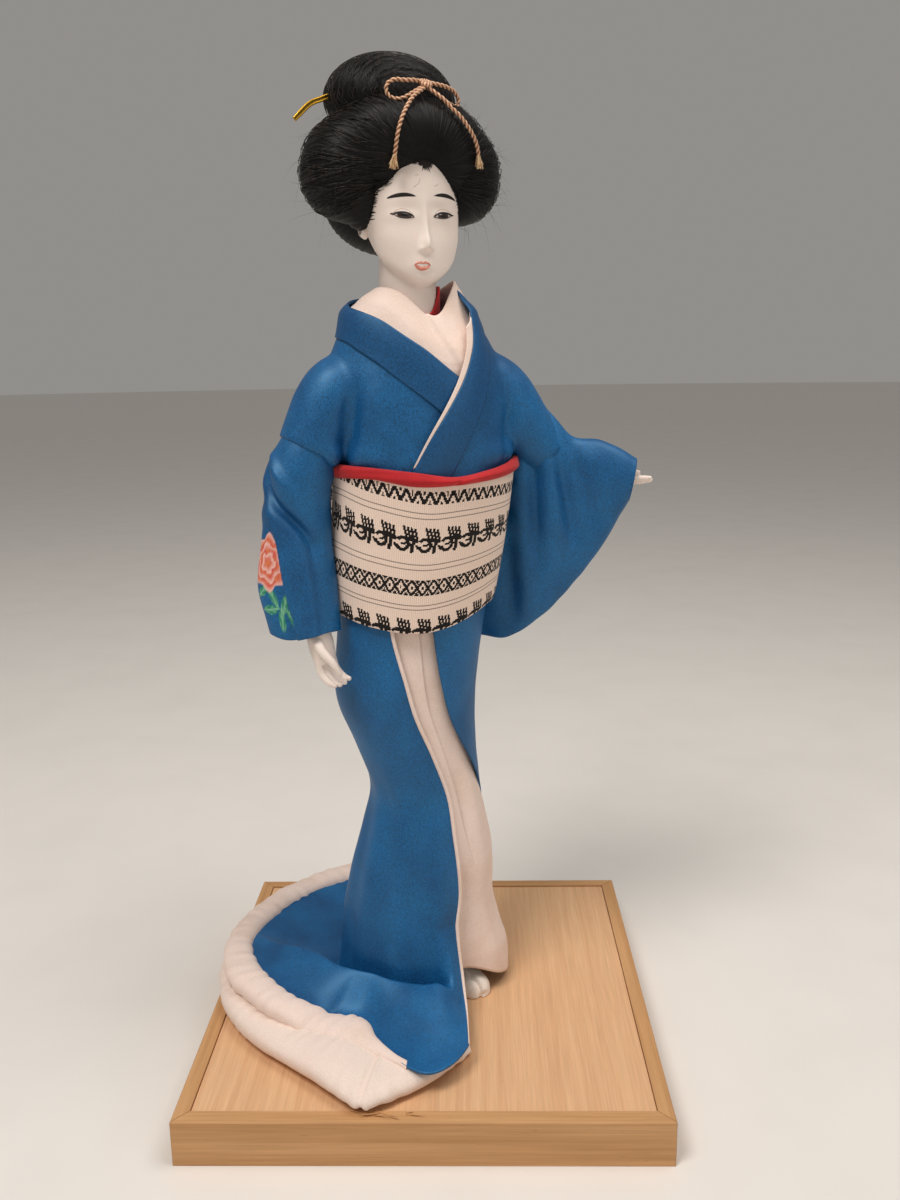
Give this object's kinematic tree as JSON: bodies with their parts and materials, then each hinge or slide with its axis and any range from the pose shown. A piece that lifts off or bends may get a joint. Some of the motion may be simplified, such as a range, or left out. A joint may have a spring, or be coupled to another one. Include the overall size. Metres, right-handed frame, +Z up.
{
  "type": "costume doll",
  "caption": "Standing costume doll in a blue trailing kimono with a woven sash and dressed black hair, fixed to a square framed wooden stand",
  "frame": {"origin": "middle of the stand's underside, on the surface it stands on", "axes": "+Z up, the stand's front edge towards -Y, +X to the right of someone looking at the front"},
  "size_m": [0.2041, 0.2, 0.4332],
  "materials": {
    "deck_plywood": "bare plywood with a fine straight grain",
    "rail_wood": "bare sawn softwood with a clear grain",
    "wound_stuffing": "wood wool wound with paper tape",
    "steel_wire": "plain drawn wire",
    "white_skin": "matte white paint over a moulded shell",
    "eye_gloss": "glossy inset eye",
    "white_cotton": "plain white cotton",
    "blue_satin": "blue satin with a soft sheen",
    "cream_cloth": "cream silk crepe",
    "red_silk": "red dyed silk",
    "sash_brocade": "ribbed cream brocade with woven black bands",
    "black_hair": "combed black silk fibre",
    "gilt_brass": "gilt, slightly worn",
    "gold_cord": "twisted copper-gold cord"
  },
  "bodies": {
    "doll": {"base_deck": "deck_plywood", "base_rail_front": "rail_wood", "base_rail_back": "rail_wood", "base_rail_left": "rail_wood", "base_rail_right": "rail_wood", "torso_core": "wound_stuffing", "arm_wrap_left": "wound_stuffing", "arm_wrap_right": "wound_stuffing", "leg_wrap_left": "wound_stuffing", "leg_wrap_right": "wound_stuffing", "arm_wire_left": "steel_wire", "arm_wire_right": "steel_wire", "leg_wire_left": "steel_wire", "leg_wire_right": "steel_wire", "foot_left": "white_cotton", "foot_right": "white_cotton", "kimono_bodice": "blue_satin", "sleeve_left": "blue_satin", "sleeve_right": "blue_satin", "kimono_skirt": "blue_satin", "collar_kimono": "blue_satin", "underskirt": "cream_cloth", "collar_white": "cream_cloth", "collar_red": "red_silk", "hem_roll_upper": "cream_cloth", "hem_roll_lower": "cream_cloth", "obi_band": "sash_brocade", "obi_age": "red_silk", "obi_drum": "sash_brocade", "obi_hand": "sash_brocade", "obi_tail": "sash_brocade", "obi_pillow": "white_cotton"},
    "head": {"head": "white_skin", "eye_left": "eye_gloss", "eye_right": "eye_gloss", "hair_front": "black_hair", "hair_side_left": "black_hair", "hair_side_right": "black_hair", "hair_back": "black_hair", "hair_bun": "black_hair", "hair_cord_knot": "gold_cord", "hair_cord_loop_left": "gold_cord", "hair_cord_loop_right": "gold_cord", "hair_cord_tail_left": "gold_cord", "hair_cord_tail_right": "gold_cord"},
    "hairpin": {"hairpin": "gilt_brass"},
    "right_hand": {"hand_right": "white_skin"},
    "left_hand": {"hand_left": "white_skin"}
  },
  "joints": [
    {"name": "head_turn", "type": "hinge", "parent": "doll", "child": "head", "pos_m": [-0.004, 0.003, 0.33], "axis": [0, 0, 1], "range_deg": [-45, 30]},
    {"name": "hairpin_pull", "type": "slide", "parent": "head", "child": "hairpin", "axis": [-0.8129, -0.4322, -0.3903], "range_m": [0, 0.022]},
    {"name": "right_hand_twist", "type": "hinge", "parent": "doll", "child": "right_hand", "pos_m": [-0.04525, -0.02007, 0.2022], "axis": [0.1742, 0.0398, -0.9839], "range_deg": [-30, 30]},
    {"name": "left_hand_twist", "type": "hinge", "parent": "doll", "child": "left_hand", "pos_m": [0.07405, 0.01922, 0.2622], "axis": [0.9712, -0.0263, -0.2367], "range_deg": [-30, 30]}
  ]
}
